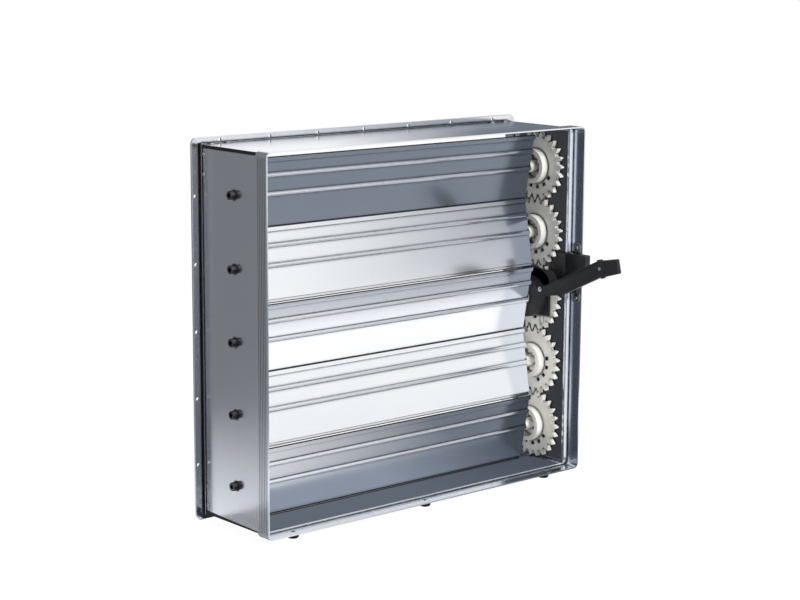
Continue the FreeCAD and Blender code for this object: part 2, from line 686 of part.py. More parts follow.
def pan_screw(shank_radius, head_radius, head_height, x_head, x_end, y, z):
    """Slotted pan-head screw along +X with its head outside x_head."""
    head = rod(head_radius, x_head - head_height, x_head, y, z)
    rim = [edge for edge in head.Edges if abs(edge.BoundBox.XMax - (x_head - head_height)) < 1e-3]
    head = head.makeChamfer(head_height * 0.4, rim)
    shank = rod(shank_radius, x_head, x_end, y, z)
    slot_half = head_height * 0.2
    slot = box(x_head - head_height - 1, x_head - head_height * 0.5, y - head_radius, y + head_radius,
               z - slot_half, z + slot_half)
    return head.fuse(shank).cut(slot)


def lever_screws():
    """Screws that clamp the lever to the gear's disc."""
    screws = [pan_screw(LEVER_SCREW_RADIUS, LEVER_SCREW_HEAD, LEVER_SCREW_HEAD_HEIGHT, LEVER_LEFT, GEAR_LEFT + 5, y, z)
              for y, z in lever_screw_points()]
    return Part.makeCompound(screws)


def console_screw_y():
    """Depth of the console's screws: the middle of the lip's inside."""
    return (FRONT_Y + STEP_Y - WALL) / 2 - CONSOLE_STRIP_INSET


def console_screw_z():
    """Heights of the console's screws, in the two ends of its strip."""
    return (CONSOLE_LOW - CONSOLE_SCREW_FROM_END, CONSOLE_HIGH + CONSOLE_SCREW_FROM_END)


def rounded_plate(x0, x1, y0, y1, z0, z1, radius):
    """A plate across X with its four corners rounded."""
    plate = box(x0, x1, y0, y1, z0, z1)
    return plate.makeFillet(radius, [edge for edge in plate.Edges if is_along(edge, V(1, 0, 0))])


def console_strip():
    """Strip along the lip's inside that carries the console and stands out past both its ends."""
    lip_in = HALF_W + LIP_SIDE_MARGIN - WALL
    rear = STEP_Y - WALL - 2 * CONSOLE_STRIP_INSET
    strip = rounded_plate(lip_in - CONSOLE_STRIP_THICK, lip_in, FRONT_Y + CONSOLE_STRIP_INSET, rear,
                          CONSOLE_LOW - STRIP_PAST_CONSOLE, CONSOLE_HIGH + STRIP_PAST_CONSOLE, CONSOLE_STRIP_ROUND)
    return strip.cut([rod(CONSOLE_SCREW_RADIUS, HALF_W, lip_in + 1, console_screw_y(), z) for z in console_screw_z()])


def console():
    """Moulded console: plate on the wall, block in the lip over its strip, and a short nose ahead."""
    lip_in = HALF_W + LIP_SIDE_MARGIN - WALL
    lip_out = HALF_W + LIP_SIDE_MARGIN
    left = HALF_W - CONSOLE_PLATE
    rear = STEP_Y - WALL
    plate = rounded_plate(left, HALF_W, FRONT_Y, STEP_Y + CONSOLE_REAR_REACH, CONSOLE_LOW, CONSOLE_HIGH,
                          CONSOLE_REAR_ROUND)
    front = box(left, HALF_W, FRONT_Y, STEP_Y, CONSOLE_LOW, CONSOLE_HIGH)
    block = box(HALF_W - CONSOLE_PLATE, lip_in, FRONT_Y, rear, CONSOLE_LOW, CONSOLE_HIGH)
    outline = [(FRONT_Y, CONSOLE_HIGH), (FRONT_Y - NOSE_REACH, CONSOLE_HIGH),
               (FRONT_Y - NOSE_REACH, CONSOLE_HIGH - NOSE_TIP), (FRONT_Y, CONSOLE_HIGH - NOSE_ROOT)]
    nose = prism_yz(outline, left, lip_out)
    nose = nose.makeFillet(NOSE_ROUND, outline_edges(nose, FRONT_Y - NOSE_REACH))
    return fuse_all([plate, front, block, nose]).cut(console_strip())


def console_screws():
    """Screws that hold the console's strip to the lip."""
    lip_in = HALF_W + LIP_SIDE_MARGIN - WALL
    head = lip_in - CONSOLE_STRIP_THICK
    screws = [pan_screw(CONSOLE_SCREW_RADIUS, CONSOLE_SCREW_HEAD, CONSOLE_SCREW_HEAD_HEIGHT, head, lip_in + WALL,
                        console_screw_y(), z) for z in console_screw_z()]
    return Part.makeCompound(screws)


def grip_pin():
    """Pin through the collar and the tongue, with a small head on the near side."""
    y, z = lever_place(LEVER_REACH + GRIP_PIN_AHEAD, 0)
    middle = (LEVER_LEFT + CUP_LEFT) / 2
    near = middle - GRIP_COLLAR_THICK / 2
    head = rod(GRIP_PIN_HEAD, near - 1, near, y, z)
    return head.fuse(rod(GRIP_PIN_RADIUS, near, middle + GRIP_COLLAR_THICK / 2, y, z)).removeSplitter()


def lip_feet():
    """Round feet under the bottom lip, level with the rear flange's lower edge."""
    lip_z = -(HALF_H + LIP_TOP_MARGIN)
    feet = []
    for x in FOOT_PLACES:
        base = V(x, FRONT_Y + FOOT_FROM_FRONT, STAND_Z)
        foot = Part.makeCylinder(FOOT_RADIUS, lip_z - STAND_Z, base)
        rim = [edge for edge in foot.Edges if abs(edge.BoundBox.ZMax - STAND_Z) < 1e-3]
        foot = foot.makeChamfer(FOOT_CHAMFER, rim)
        stem = Part.makeCylinder(FOOT_STEM_RADIUS, WALL, V(x, FRONT_Y + FOOT_FROM_FRONT, lip_z))
        feet.append(foot.fuse(stem).removeSplitter())
    return Part.makeCompound(feet)


def build_frame():
    """Profiles, strips, cleats, rivets, bushes, feet and the console."""
    whole = frame_ring()
    for side in ("left", "right", "top", "bottom"):
        export("frame_" + side, whole.common(mitre_wedge(side)))
    export("seal_strip_left", seal_strip_upright(-1))
    export("seal_strip_right", seal_strip_upright(1))
    export("seal_strip_top", seal_strip_level(1))
    export("seal_strip_bottom", seal_strip_level(-1))
    export("corner_cleats", corner_cleats())
    export("frame_rivets", frame_rivets())
    export("left_bushes", Part.makeCompound([bush(-1, z) for z in shaft_heights()]))
    export("right_bushes", Part.makeCompound([bush(1, z) for z in shaft_heights()]))
    export("lever_console", console())
    export("console_strip", console_strip())
    export("console_screws", console_screws())
    export("lip_feet", lip_feet())


def build_blades():
    """The five blades with their seals, gears, journals and screws."""
    pieces = {"blade": blade_extrusion(), "seals": blade_seals(), "journal": left_journal(),
              "shaft_screw": shaft_screw()}
    for k, z in enumerate(shaft_heights()):
        pieces["gear"] = gear(POCKET_FIRST[k])
        for name, shape in pieces.items():
            placed = turned(shape, blade_tilt(k), z)
            if k == BLADE_COUNT // 2 and name == "gear":
                placed = placed.cut(lever_screw_cutters(z))
            label = "blade_%d" % (k + 1) if name == "blade" else "blade_%d_%s" % (k + 1, name)
            export(label, placed)


def lever_screw_cutters(shaft_z):
    """Threaded holes for the lever's screws in the middle gear."""
    return [rod(LEVER_SCREW_RADIUS, GEAR_LEFT - 1, GEAR_LEFT + 5, SHAFT_Y + y, shaft_z + z)
            for y, z in lever_screw_points()]


def build_lever():
    """The lever, its grip, screws and pin on the middle shaft."""
    middle = shaft_heights()[BLADE_COUNT // 2]
    for name, shape in {"lever_arm": lever_arm(), "lever_grip": lever_grip(), "lever_screws": lever_screws(),
                        "grip_pin": grip_pin()}.items():
        export(name, turned(shape, 0, middle))


os.makedirs("parts", exist_ok=True)
build_frame()
build_blades()
build_lever()
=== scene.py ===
import cmath
import logging
import math
from dataclasses import dataclass, field
from enum import Enum
from itertools import product
from typing import Callable, Iterable, Mapping, Sequence

import bpy
from bpy.types import Material, Node, NodeSocket, NodeTree, Object, World
from mathutils import Matrix, Vector


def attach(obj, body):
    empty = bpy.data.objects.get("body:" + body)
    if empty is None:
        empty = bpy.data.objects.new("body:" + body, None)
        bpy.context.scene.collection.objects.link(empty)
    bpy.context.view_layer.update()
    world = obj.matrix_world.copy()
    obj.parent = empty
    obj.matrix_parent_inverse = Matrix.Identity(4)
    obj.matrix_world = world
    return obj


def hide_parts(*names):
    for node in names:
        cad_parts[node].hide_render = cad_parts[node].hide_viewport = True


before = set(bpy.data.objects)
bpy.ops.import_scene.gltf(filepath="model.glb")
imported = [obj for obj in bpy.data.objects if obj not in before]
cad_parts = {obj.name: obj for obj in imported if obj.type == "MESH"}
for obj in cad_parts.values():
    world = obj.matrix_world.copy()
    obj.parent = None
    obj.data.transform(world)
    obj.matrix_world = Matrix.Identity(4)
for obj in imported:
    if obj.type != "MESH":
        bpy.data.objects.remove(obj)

LOG = logging.getLogger("louver_damper")
MM = 0.001
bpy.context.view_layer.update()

Triple = tuple[float, float, float]
Value = NodeSocket | float | Sequence[float]
Sockets = Mapping[str, NodeSocket]
# Tells from a face's centre in millimetres and its normal whether the face is meant
FaceTest = Callable[[Vector, Vector], bool]

# Places on the damper, in millimetres from the duct's axis at the rear flange
SHAFT_Y = -80.0
SHAFT_HEIGHTS = (197.0, 97.0, -3.0, -103.0, -203.0)
MIDDLE_SHAFT = SHAFT_HEIGHTS[2]
HALF_WIDTH = 286.0
HALF_HEIGHT = 256.5
WALL = 2.0
STAND_HEIGHT = -268.0

# Directions, and how much of one a face's normal needs to count as facing it
UP = (0.0, 0.0, 1.0)
LEFTWARD = (-1.0, 0.0, 0.0)
FACING = 0.99


class Run(Enum):
    """The direction in which a piece was drawn or rolled, as the stretch of its grain."""

    ALONG_X = (1.0, 60.0, 60.0)
    ALONG_Z = (60.0, 60.0, 1.0)
    NONE = (1.0, 1.0, 1.0)


# ---- Small steps in a node tree


def emptied(owner: Material | World) -> NodeTree:
    """Switch on the nodes of a material or world and take the ready-made ones out.

    Args:
        owner: The material or world.

    Returns:
        Its empty node tree.
    """
    owner.use_nodes = True
    owner.node_tree.nodes.clear()
    return owner.node_tree


def add_node(tree: NodeTree, kind: str, inputs: Mapping[str | int, Value] | None = None,
             **settings: object) -> Node:
    """Add a node, set its plain properties and feed its inputs.

    Args:
        tree: The tree that gets the node.
        kind: The node's type without its ShaderNode prefix.
        inputs: What goes into each input: a socket to link, a number, a vector or a colour.
        **settings: Properties of the node.

    Returns:
        The new node.
    """
    node = tree.nodes.new("ShaderNode" + kind)
    for key, value in settings.items():
        setattr(node, key, value)
    for key, value in (inputs or {}).items():
        socket = node.inputs[key]
        if isinstance(value, NodeSocket):
            tree.links.new(value, socket)
        else:
            socket.default_value = (*value, 1.0) if socket.type == "RGBA" else value
    return node


def remap(tree: NodeTree, value: NodeSocket, low: float, high: float, to_low: float = 0.0,
          to_high: float = 1.0) -> NodeSocket:
    """Add a clamped map range on a value.

    Args:
        tree: The tree that gets the node.
        value: The value to map.
        low: Where the range starts.
        high: Where it ends.
        to_low: What the start becomes.
        to_high: What the end becomes.

    Returns:
        The mapped value.
    """
    return add_node(tree, "MapRange", dict(enumerate((value, low, high, to_low, to_high)))).outputs[0]


def arithmetic(tree: NodeTree, operation: str, first: Value, second: Value) -> NodeSocket:
    """Add a math node over two values.

    Args:
        tree: The tree that gets the node.
        operation: The math node's operation.
        first: The first value, a socket or a number.
        second: The second one.

    Returns:
        The result.
    """
    return add_node(tree, "Math", {0: first, 1: second}, operation=operation).outputs[0]


def tint(tree: NodeTree, share: NodeSocket, first: Value, second: Value) -> NodeSocket:
    """Mix two colours.

    Args:
        tree: The tree that gets the node.
        share: How much there is of the second colour.
        first: The first colour, a socket or numbers.
        second: The second one.

    Returns:
        The mixed colour.
    """
    return add_node(tree, "Mix", {0: share, 6: first, 7: second}, data_type="RGBA").outputs[2]


def show_either(tree: NodeTree, mask: NodeSocket, first: Node, second: Node,
                output: str = "OutputMaterial") -> None:
    """Send one of two shaders to the tree's output.

    Args:
        tree: The tree that gets the nodes.
        mask: 0 shows the first shader and 1 the second.
        first: The first shader.
        second: The second one.
        output: The output node's type.
    """
    either = add_node(tree, "MixShader", {0: mask, 1: first.outputs[0], 2: second.outputs[0]})
    add_node(tree, output, {"Surface": either.outputs[0]})


# ---- Shader effects that several finishes share


@dataclass(frozen=True)
class Noise:
    """A noise texture, and any limits between which its values are spread into a mask."""

    scale: Value
    detail: float = 2.0
    roughness: float = 0.55
    distortion: float = 0.0
    limits: tuple[float, float] | None = None
    least: float = 0.0

    def read(self, tree: NodeTree, place: NodeSocket) -> NodeSocket:
        """Add the texture, and its limits if it has any.

        Args:
            tree: The tree that gets the nodes.
            place: Where the texture is read.

        Returns:
            The noise value, or the mask from the least value to 1.
        """
        inputs = {"Vector": place, "Scale": self.scale, "Detail": self.detail, "Roughness": self.roughness,
                  "Distortion": self.distortion}
        value = add_node(tree, "TexNoise", inputs).outputs["Fac"]
        return remap(tree, value, *self.limits, self.least) if self.limits else value


class ShaderEffect:
    """Base of the shared effects: each is a node group that is made once and then reused."""

    name = "effect"
    takes: dict[str, str] = {"Place": "Vector"}
    gives: tuple[str, ...] = ()

    def group(self) -> NodeTree:
        """Give the node group, built at its first use.

        Returns:
            The shader node group of this effect.
        """
        found = bpy.data.node_groups.get(self.name)
        if found is not None:
            return found
        tree = bpy.data.node_groups.new(self.name, "ShaderNodeTree")
        for key, kind in self.takes.items():
            tree.interface.new_socket(name=key, in_out="INPUT", socket_type="NodeSocket" + kind)
        for key in self.gives:
            tree.interface.new_socket(name=key, in_out="OUTPUT", socket_type="NodeSocketFloat")
        inside = tree.nodes.new("NodeGroupInput")
        outside = tree.nodes.new("NodeGroupOutput")
        for key, result in zip(self.gives, self.results(tree, inside.outputs)):
            tree.links.new(result, outside.inputs[key])
        return tree

    def results(self, tree: NodeTree, given: Sockets) -> Sequence[NodeSocket]:
        """Fill the group with its nodes.

        Args:
            tree: The group's tree.
            given: What the group takes, by name.

        Returns:
            What it gives, in the order of their names.
        """
        raise NotImplementedError

    def put(self, tree: NodeTree, **values: Value) -> Sockets:
        """Place the effect in a material.

        Args:
            tree: The material's tree.
            **values: What goes into the group's inputs.

        Returns:
            The group's outputs, by name.
        """
        return add_node(tree, "Group", values, node_tree=self.group()).outputs


class DrawnGrain(ShaderEffect):
    """Fine streaks along the drawing direction, with slow cloudy variation across the piece."""

    name = "drawn_grain"
    takes = {"Place": "Vector", "Stretch": "Vector"}
    gives = ("Streaks", "Clouds")
    coarse = Noise(9.0)
    fine = Noise(34.0, 3.0, 0.6)
    clouds = Noise(7.0, 3.0, 0.5, limits=(0.3, 0.7))

    def results(self, tree: NodeTree, given: Sockets) -> Sequence[NodeSocket]:
        """Read noise in stretched coordinates for streaks and in plain ones for clouds."""
        inputs = {0: given["Place"], 1: given["Stretch"]}
        stretched = add_node(tree, "VectorMath", inputs, operation="MULTIPLY").outputs[0]
        both = arithmetic(tree, "ADD", self.coarse.read(tree, stretched), self.fine.read(tree, stretched))
        return arithmetic(tree, "MULTIPLY", both, 0.5), self.clouds.read(tree, given["Place"])


class HandlingWear(ShaderEffect):
    """Sparse scuffs and dust specks from handling and storage."""

    name = "handling_wear"
    takes = {"Place": "Vector", "Amount": "Float"}
    gives = ("Scuffs", "Specks")
    patches = Noise(22.0, limits=(0.52, 0.68))
    scratches = Noise(620.0, 4.0, 0.7, limits=(0.55, 0.72))
    dusty_spots = Noise(60.0, 1.0, limits=(0.58, 0.62))
    cell_scale = 90.0
    speck_radii = (0.04, 0.10)

    def results(self, tree: NodeTree, given: Sockets) -> Sequence[NodeSocket]:
        """Show fine noise inside the patches of a coarse one, and small cells for the specks."""
        place, amount = given["Place"], given["Amount"]
        scuffs = arithmetic(tree, "MULTIPLY", self.patches.read(tree, place), self.scratches.read(tree, place))
        cells = add_node(tree, "TexVoronoi", {"Vector": place, "Scale": self.cell_scale}, feature="F1")
        dots = remap(tree, cells.outputs["Distance"], *self.speck_radii, 1.0, 0.0)
        specks = arithmetic(tree, "MULTIPLY", dots, self.dusty_spots.read(tree, place))
        return arithmetic(tree, "MULTIPLY", scuffs, amount), arithmetic(tree, "MULTIPLY", specks, amount)


class CornerPaintedShade(ShaderEffect):
    """Painted shade along inner corners: the colour darkens where the surface is occluded within a few millimetres.
    """

    name = "corner_painted_shade"
    gives = ("PaintedShade",)
    reach = 5.0
    open_shares = (0.60, 0.90)
    broken = Noise(160.0, limits=(0.3, 0.7), least=0.75)

    def results(self, tree: NodeTree, given: Sockets) -> Sequence[NodeSocket]:
        """Use the occlusion within a few millimetres as the painted shade's mask, broken up by noise."""
        corner = add_node(tree, "AmbientOcclusion", {"Distance": self.reach * MM}, samples=8)
        deep = remap(tree, corner.outputs["AO"], *self.open_shares, 1.0, 0.0)
        return (arithmetic(tree, "MULTIPLY", deep, self.broken.read(tree, given["Place"])),)


class MouldSkin(ShaderEffect):
    """The fine leathery skin and slight flow marks of a moulded surface."""

    name = "mould_skin"
    takes = {"Place": "Vector", "Grain": "Float"}
    gives = ("Pebble", "Flow")
    flow = Noise(38.0, 2.0, 0.5, 1.2, (0.35, 0.65))

    def results(self, tree: NodeTree, given: Sockets) -> Sequence[NodeSocket]:
        """Use a fine noise for the skin and a warped slow one for the flow marks."""
        pebble = Noise(given["Grain"], 3.0, 0.5)
        return pebble.read(tree, given["Place"]), self.flow.read(tree, given["Place"])


# ---- Finishes


@dataclass(frozen=True)
class Finish:
    """A finish: its name and slot, two colours that vary over the piece, and a roughness range.

    Each kind adds its grain's depth in metres, its wear, the colours of scuffs and of the painted shade in inner
    corners, and whether it is metal.
    """

    name: str
    slot: str
    light: Triple
    dark: Triple
    smooth: float
    rough: float

    grain_values = (0.3, 0.7)
    speck_share = 0.4
    scuff_roughness = 0.1

    def texture(self, tree: NodeTree, place: NodeSocket) -> tuple[NodeSocket, NodeSocket]:
        """Add the finish's own texture.

        Args:
            tree: The material's tree.
            place: The piece's own coordinates.

        Returns:
            The height of its grain and the mask that mixes its colours.
        """
        raise NotImplementedError

    def material(self) -> Material:
        """Give the material, built at its first use.

        The grain sets roughness and relief, scuffs brighten, metals also show specks, and inner corners are darkened
        as painted shade.

        Returns:
            The finished material.
        """
        found = bpy.data.materials.get(self.name)
        if found is not None:
            return found
        made = bpy.data.materials.new(self.name)
        tree = emptied(made)
        place = add_node(tree, "TexCoord").outputs["Object"]
        height, mask = self.texture(tree, place)
        wear = HandlingWear().put(tree, Place=place, Amount=self.wear)
        colour = tint(tree, mask, self.light, self.dark)
        colour = tint(tree, wear["Scuffs"], colour, self.scuffed)
        rough = remap(tree, height, *self.grain_values, self.smooth, self.rough)
        if self.metallic:
            colour = tint(tree, wear["Specks"], colour, tuple(self.speck_share * part for part in self.dark))
            scuffs = arithmetic(tree, "MULTIPLY", wear["Scuffs"], self.scuff_roughness)
            rough = arithmetic(tree, "ADD", rough, scuffs)
        # Painted shade: occluded inner corners darken towards the finish's corner colour
        colour = tint(tree, CornerPaintedShade().put(tree, Place=place)["PaintedShade"], colour, self.painted_shade)
        bump = add_node(tree, "Bump", {"Height": height, "Distance": self.depth, "Strength": 1.0})
        inputs = {"Base Color": colour, "Metallic": self.metallic, "Roughness": rough, "Normal": bump.outputs[0]}
        surface = add_node(tree, "BsdfPrincipled", inputs)
        add_node(tree, "OutputMaterial", {"Surface": surface.outputs["BSDF"]})
        return made


@dataclass(frozen=True)
class DrawnMetal(Finish):
    """Extruded or rolled metal with a satin grain."""

    run: Run = Run.NONE
    depth: float = 0.0000005
    wear: float = 0.15
    scuffed: Triple = (0.75, 0.76, 0.78)
    # Colour of the painted shade in inner corners
    painted_shade: Triple = (0.05, 0.052, 0.06)
    metallic: float = 1.0

    def texture(self, tree: NodeTree, place: NodeSocket) -> tuple[NodeSocket, NodeSocket]:
        """Streaks along the run are the height, and clouds mix the colours."""
        grain = DrawnGrain().put(tree, Place=place, Stretch=self.run.value)
        return grain["Streaks"], grain["Clouds"]


@dataclass(frozen=True)
class Moulded(Finish):
    """Injection-moulded plastic with a fine skin."""

    grain: float = 900.0
    depth: float = 0.00003
    wear: float = 0.3
    scuffed: Triple = (0.5, 0.5, 0.5)
    # Colour of the painted shade in inner corners
    painted_shade: Triple = (0.012, 0.012, 0.012)
    metallic: float = 0.0

    def texture(self, tree: NodeTree, place: NodeSocket) -> tuple[NodeSocket, NodeSocket]:
        """The skin's pebbles are the height, and flow marks mix the colours."""
        skin = MouldSkin().put(tree, Place=place, Grain=self.grain)
        return skin["Pebble"], skin["Flow"]


FRAME_UPRIGHT = DrawnMetal("upright_profile_satin", "frame_aluminium", (0.80, 0.83, 0.90), (0.77, 0.80, 0.88),
                           0.21, 0.23, run=Run.ALONG_Z)
FRAME_LEVEL = DrawnMetal("level_profile_satin", "frame_aluminium", (0.88, 0.90, 0.95), (0.85, 0.87, 0.92),
                         0.15, 0.18, run=Run.ALONG_X)
BLADE_METAL = DrawnMetal("blade_bright_satin", "blade_aluminium", (0.93, 0.95, 0.98), (0.90, 0.92, 0.96),
                         0.16, 0.19, run=Run.ALONG_X)
CLEAT_METAL = DrawnMetal("cleat_mill_finish", "bright_steel", (0.62, 0.63, 0.65), (0.55, 0.56, 0.58), 0.3, 0.4)
BRIGHT_STEEL = DrawnMetal("zinc_plated_steel", "bright_steel", (0.72, 0.72, 0.73), (0.60, 0.60, 0.61), 0.18, 0.28)
DARK_STEEL = DrawnMetal("blackened_steel", "dark_steel", (0.17, 0.17, 0.18), (0.10, 0.10, 0.11), 0.10, 0.20)
GEAR_PLASTIC = Moulded("cream_moulding", "gear_plastic", (0.80, 0.79, 0.74), (0.73, 0.72, 0.66), 0.30, 0.42,
                       scuffed=(0.55, 0.54, 0.49))
BLACK_PLASTIC = Moulded("black_moulding", "black_plastic", (0.017, 0.017, 0.020), (0.012, 0.012, 0.014),
                        0.34, 0.50, grain=1400.0, scuffed=(0.08, 0.08, 0.085))
BUSH_PLASTIC = Moulded("bush_moulding", "bush_plastic", (0.05, 0.05, 0.052), (0.035, 0.035, 0.037), 0.40, 0.55)
SEAL_RUBBER = Moulded("seal_lip_rubber", "seal_rubber", (0.018, 0.018, 0.019), (0.011, 0.011, 0.012),
                      0.55, 0.75, grain=2200.0, depth=0.00005, scuffed=(0.06, 0.06, 0.06))


# ---- Modelling by hand, in small steps on one piece at a time; all lengths are in millimetres


# Edges sharper than this many degrees are rounded
BEVEL_FROM = 30.0


def clear() -> None:
    """Leave edit mode and select nothing."""
    if bpy.context.mode != "OBJECT":
        bpy.ops.object.mode_set(mode="OBJECT")
    bpy.ops.object.select_all(action="DESELECT")


def hold(obj: Object) -> None:
    """Select one object alone and make it active."""
    clear()
    obj.select_set(True)
    bpy.context.view_layer.objects.active = obj


def done() -> None:
    """Leave edit mode."""
    bpy.ops.object.mode_set(mode="OBJECT")


def copy_of(name: str, source: Object) -> Object:
    """Copy an object with a mesh of its own.

    Args:
        name: The copy's name.
        source: The object to copy.

    Returns:
        The copy, with no materials.
    """
    obj = bpy.data.objects.new(name, source.data.copy())
    bpy.context.scene.collection.objects.link(obj)
    obj.data.name = name
    obj.data.materials.clear()
    return obj


def flattened(obj: Object) -> None:
    """Let the large flat faces set the shading, so that only the rounded edges look curved."""
    hold(obj)
    weighted = obj.modifiers.new("flat faces", "WEIGHTED_NORMAL")
    weighted.mode = "FACE_AREA"
    weighted.weight = 100
    weighted.keep_sharp = True
    bpy.ops.object.modifier_apply(modifier=weighted.name)


def rounded(obj: Object, width: float, segments: int = 2) -> None:
    """Round an object's sharp edges with an applied bevel modifier, and shade it smooth.

    Args:
        obj: The object.
        width: The rounding's width.
        segments: Steps in each rounded edge.
    """
    hold(obj)
    bevel = obj.modifiers.new("rounding", "BEVEL")
    bevel.width = width * MM
    bevel.segments = segments
    bevel.limit_method = "ANGLE"
    bevel.angle_limit = math.radians(BEVEL_FROM)
    bevel.use_clamp_overlap = True
    bpy.ops.object.modifier_apply(modifier=bevel.name)
    smooth(obj)


def smooth(obj: Object, crease: float = 38.0) -> None:
    """Shade an object smooth except at edges sharper than the crease, in degrees."""
    hold(obj)
    bpy.ops.object.shade_smooth_by_angle(angle=math.radians(crease))


def settle(name: str) -> Object:
    """Name the object just added and put its place, turn and size into its mesh.

    Args:
        name: The object's name.

    Returns:
        The object.
    """
    obj = bpy.context.active_object
    obj.name = obj.data.name = name
    hold(obj)
    bpy.ops.object.transform_apply(location=True, rotation=True, scale=True)
    return obj


def turned_blank(name: str, radius: float, length: float, sides: int,
                 middle: float | None = None) -> Object:
    """Add a round blank along Z.

    Args:
        name: The piece's name.
        radius: Its radius.
        length: Its length.
        sides: Its number of sides.
        middle: Its middle's height, or none to stand it on the origin.

    Returns:
        The blank.
    """
    clear()
    height = length * MM / 2 if middle is None else middle * MM
    bpy.ops.mesh.primitive_cylinder_add(vertices=sides, radius=radius * MM, depth=length * MM,
                                        location=(0, 0, height))
    return settle(name)


def block(name: str, size: Sequence[float], centre: Sequence[float] = (0.0, 0.0, 0.0),
          turn: float = 0.0) -> Object:
    """Add a rectangular block.

    Args:
        name: The piece's name.
        size: Its sizes.
        centre: Its centre.
        turn: Its turn about X in radians.

    Returns:
        The block.
    """
    clear()
    bpy.ops.mesh.primitive_cube_add(size=1.0)
    obj = bpy.context.active_object
    obj.scale = [part * MM for part in size]
    obj.rotation_euler = (turn, 0.0, 0.0)
    obj.location = [part * MM for part in centre]
    return settle(name)


def pick(obj: Object, test: FaceTest) -> None:
    """Enter edit mode with only the faces that pass a test selected.

    Args:
        obj: The object.
        test: Tells which faces.
    """
    hold(obj)
    mesh = obj.data
    mesh.vertices.foreach_set("select", [False] * len(mesh.vertices))
    mesh.edges.foreach_set("select", [False] * len(mesh.edges))
    for face in mesh.polygons:
        face.select = bool(test(face.center / MM, face.normal))
    bpy.context.tool_settings.mesh_select_mode = (False, False, True)
    bpy.ops.object.mode_set(mode="EDIT")


def bevel_faces(obj: Object, test: FaceTest, width: float, segments: int) -> None:
    """Round the edges of the faces that pass a test.

    Args:
        obj: The object.
        test: Tells which faces.
        width: The rounding's width.
        segments: Steps in each rounded edge.
    """
    pick(obj, test)
    bpy.ops.mesh.bevel(offset=width * MM, segments=segments, affect="EDGES")
    done()


def draw_faces(obj: Object, test: FaceTest, margin: float, rise: float) -> None:
    """Inset the faces that pass a test and draw them out along Z.

    Args:
        obj: The object.
        test: Tells which faces.
        margin: Width of the inset.
        rise: How far they go up.
    """
    pick(obj, test)
    bpy.ops.mesh.inset(thickness=margin * MM)
    bpy.ops.mesh.extrude_region_move(TRANSFORM_OT_translate={"value": (0, 0, rise * MM)})
    done()


def cut(obj: Object, tool: Object) -> None:
    """Cut a tool's shape out of an object and remove the tool.

    Args:
        obj: The object that is cut.
        tool: The cutting shape.
    """
    hold(obj)
    boolean = obj.modifiers.new("cut", "BOOLEAN")
    boolean.operation = "DIFFERENCE"
    boolean.solver = "EXACT"
    boolean.object = tool
    bpy.ops.object.modifier_apply(modifier=boolean.name)
    mesh = tool.data
    bpy.data.objects.remove(tool)
    bpy.data.meshes.remove(mesh)


def lay(obj: Object, point: Sequence[float], out: Sequence[float], turn: float = 0.0) -> None:
    """Set a piece that was modelled along +Z onto a surface.

    Args:
        obj: The piece.
        point: The point on the surface.
        out: The direction that its +Z takes.
        turn: Its turn about its own axis in degrees.
    """
    facing = Vector(out).normalized().to_track_quat("Z", "Y").to_matrix().to_4x4()
    spin = Matrix.Rotation(math.radians(turn), 4, "Z")
    obj.data.transform(Matrix.Translation(Vector(point) * MM) @ facing @ spin)
    obj.data.update()


def spread(name: str, first: Object, seats: Iterable[tuple]) -> Object:
    """Copy a piece to its seats and join the copies.

    Args:
        name: The whole's name.
        first: The piece along +Z, which isn't kept.
        seats: For each copy its point, its direction and, where it matters, its turn.

    Returns:
        The joined object.
    """
    copies = []
    for seat in seats:
        copies.append(copy_of(first.name, first))
        lay(copies[-1], *seat)
    bpy.data.objects.remove(first)
    return joined(name, copies)


def joined(name: str, pieces: Sequence[Object]) -> Object:
    """Join several pieces into one object.

    Args:
        name: The whole's name.
        pieces: The pieces, of which the first keeps its place.

    Returns:
        The joined object.
    """
    clear()
    for piece in pieces:
        piece.select_set(True)
    bpy.context.view_layer.objects.active = pieces[0]
    bpy.ops.object.join()
    whole = bpy.context.view_layer.objects.active
    whole.name = whole.data.name = name
    return whole


# ---- Sub-assemblies


@dataclass(frozen=True)
class Moulding:
    """A piece modelled over a CAD node, which it replaces; the shape moves its corners, in millimetres."""

    name: str
    node: str
    finish: Finish
    rounding: float
    segments: int = 2
    shape: Callable[[Vector], Vector] | None = None
    merge_distance: float = 0.002
    flat_angle: float = 0.6

    def model(self) -> Object:
        """Copy the CAD node, merge its triangles, shape it and round its edges.

        Returns:
            The new piece.
        """
        obj = copy_of(self.name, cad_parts[self.node])
        hold(obj)
        bpy.ops.object.mode_set(mode="EDIT")
        bpy.ops.mesh.select_all(action="SELECT")
        bpy.ops.mesh.remove_doubles(threshold=self.merge_distance * MM)
        bpy.ops.mesh.dissolve_limited(angle_limit=math.radians(self.flat_angle))
        done()
        if self.shape is not None:
            for corner in obj.data.vertices:
                corner.co = self.shape(corner.co / MM) * MM
            obj.data.update()
        rounded(obj, self.rounding, self.segments)
        flattened(obj)
        return obj


class Assembly:
    """Base of the sub-assemblies, whose pieces ride on one body."""

    body = "frame"

    def dress(self, obj: Object, finish: Finish, *nodes: str) -> Object:
        """Give a finished piece its material and its body, and hide the CAD nodes that it stands for.

        Args:
            obj: The piece.
            finish: Its finish.
            *nodes: The CAD nodes that it replaces.

        Returns:
            The same piece.
        """
        obj.data.materials.clear()
        obj.data.materials.append(finish.material())
        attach(obj, self.body)
        if nodes:
            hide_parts(*nodes)
        LOG.info("%s: %d faces, %s", obj.name, len(obj.data.polygons), finish.name)
        return obj

    def mould(self, *pieces: Moulding) -> None:
        """Model and dress pieces over CAD nodes.

        Args:
            *pieces: The pieces.
        """
        for piece in pieces:
            self.dress(piece.model(), piece.finish, piece.node)


